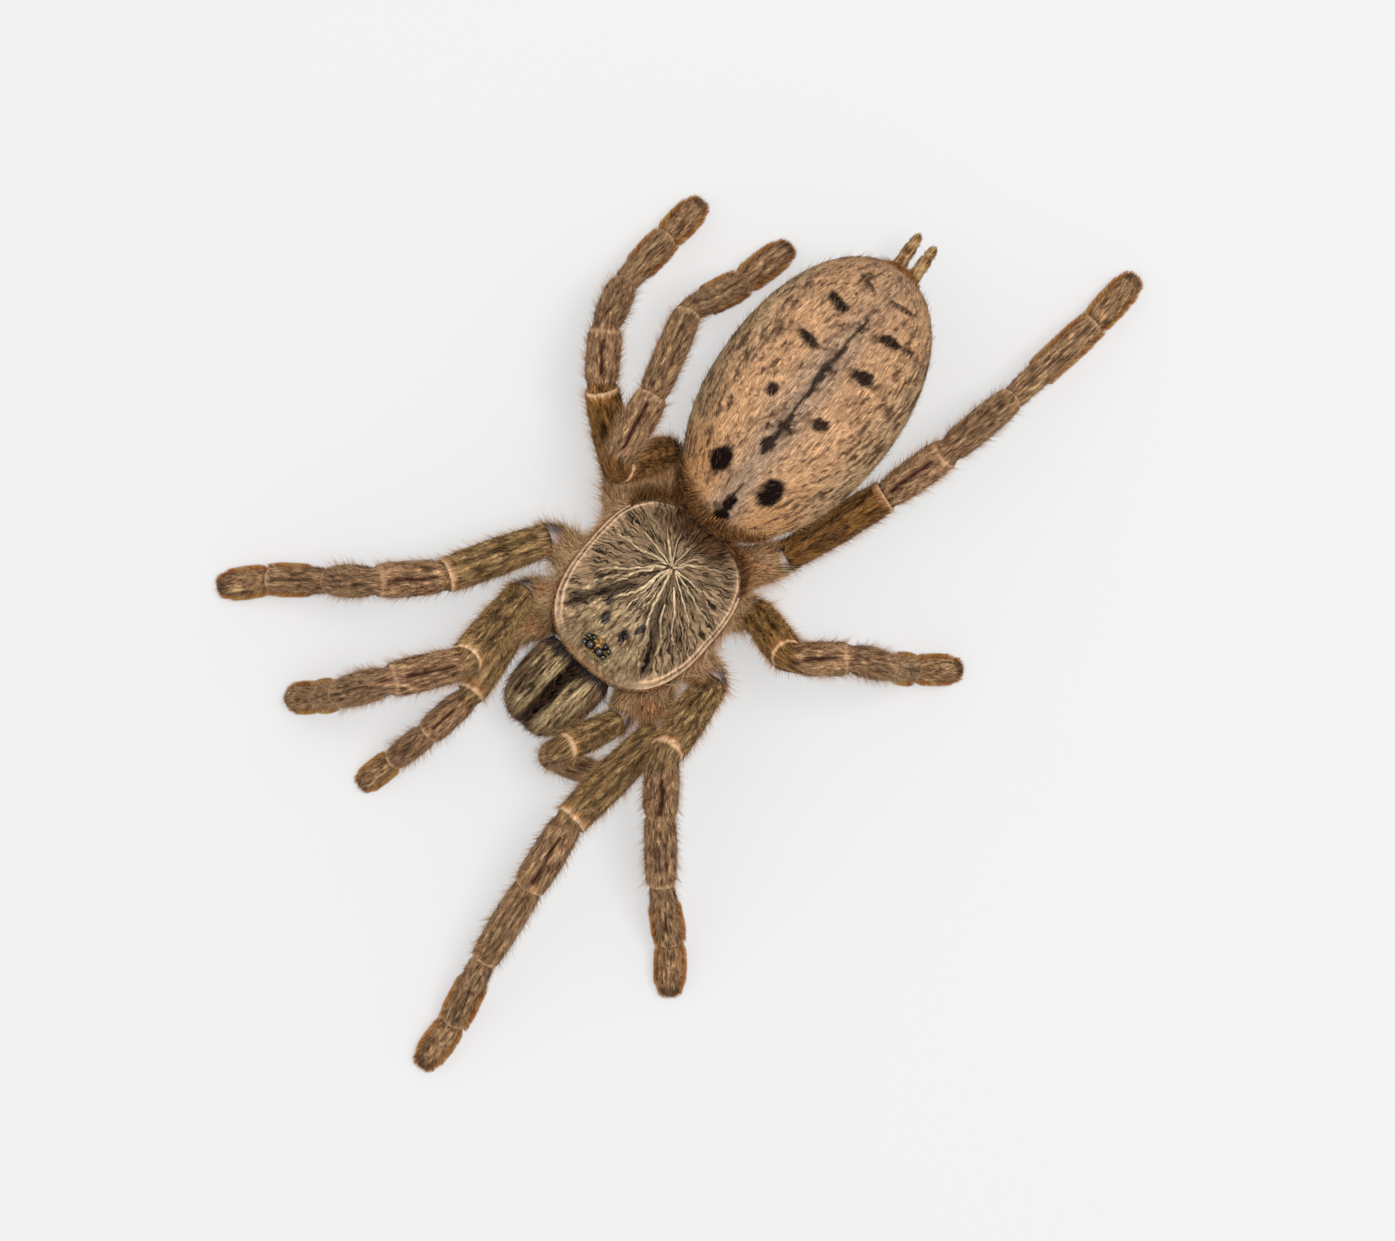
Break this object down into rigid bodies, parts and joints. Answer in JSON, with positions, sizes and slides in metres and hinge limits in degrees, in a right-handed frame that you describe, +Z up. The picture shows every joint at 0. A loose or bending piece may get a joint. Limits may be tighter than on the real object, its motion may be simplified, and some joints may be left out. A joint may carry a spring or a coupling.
{
  "type": "pterinochilus lugardi spider",
  "caption": "Still life-size model of a live female baboon tarantula standing on the floor, legs spread unevenly in a calm walking pose",
  "frame": {"origin": "centre of the model's box in plan, at floor level", "axes": "+Z up, head towards -Y, the animal's left side at +X, body's length along Y"},
  "size_m": [0.0588, 0.1002, 0.0204],
  "materials": {
    "carapace_fur": "matt, short gold-tan hair in rays over black skin",
    "leg_fur": "matt, dense olive-brown hair with pale rings at the joints",
    "foot_fur": "matt, dense brown hair with an orange pad below",
    "abdomen_fur": "matt, short pinkish-tan hair with black marks",
    "spinneret_fur": "matt, orange-brown hair",
    "eye_gloss": "glossy black",
    "fang_horn": "glossy dark horn"
  },
  "bodies": {
    "root": {"carapace": "carapace_fur", "ocular_mound": "eye_gloss", "sternum": "leg_fur", "coxae_left": "leg_fur", "coxae_right": "leg_fur", "abdomen": "abdomen_fur", "spinneret_left": "spinneret_fur", "spinneret_right": "spinneret_fur", "chelicera_left": "carapace_fur", "chelicera_right": "carapace_fur", "fang_left": "fang_horn", "fang_right": "fang_horn", "leg1_left_femur": "leg_fur", "leg1_left_patella": "leg_fur", "leg1_left_tibia": "leg_fur", "leg1_left_metatarsus": "leg_fur", "leg1_left_tarsus": "foot_fur", "leg1_right_femur": "leg_fur", "leg1_right_patella": "leg_fur", "leg1_right_tibia": "leg_fur", "leg1_right_metatarsus": "leg_fur", "leg1_right_tarsus": "foot_fur", "leg2_left_femur": "leg_fur", "leg2_left_patella": "leg_fur", "leg2_left_tibia": "leg_fur", "leg2_left_metatarsus": "leg_fur", "leg2_left_tarsus": "foot_fur", "leg2_right_femur": "leg_fur", "leg2_right_patella": "leg_fur", "leg2_right_tibia": "leg_fur", "leg2_right_metatarsus": "leg_fur", "leg2_right_tarsus": "foot_fur", "leg3_left_femur": "leg_fur", "leg3_left_patella": "leg_fur", "leg3_left_tibia": "leg_fur", "leg3_left_metatarsus": "leg_fur", "leg3_left_tarsus": "foot_fur", "leg3_right_femur": "leg_fur", "leg3_right_patella": "leg_fur", "leg3_right_tibia": "leg_fur", "leg3_right_metatarsus": "leg_fur", "leg3_right_tarsus": "foot_fur", "leg4_left_femur": "leg_fur", "leg4_left_patella": "leg_fur", "leg4_left_tibia": "leg_fur", "leg4_left_metatarsus": "leg_fur", "leg4_left_tarsus": "foot_fur", "leg4_right_femur": "leg_fur", "leg4_right_patella": "leg_fur", "leg4_right_tibia": "leg_fur", "leg4_right_metatarsus": "leg_fur", "leg4_right_tarsus": "foot_fur", "palp_left_femur": "leg_fur", "palp_left_patella": "leg_fur", "palp_left_tibia": "leg_fur", "palp_left_tarsus": "foot_fur", "palp_right_femur": "leg_fur", "palp_right_patella": "leg_fur", "palp_right_tibia": "leg_fur", "palp_right_tarsus": "foot_fur"}
  },
  "joints": []
}
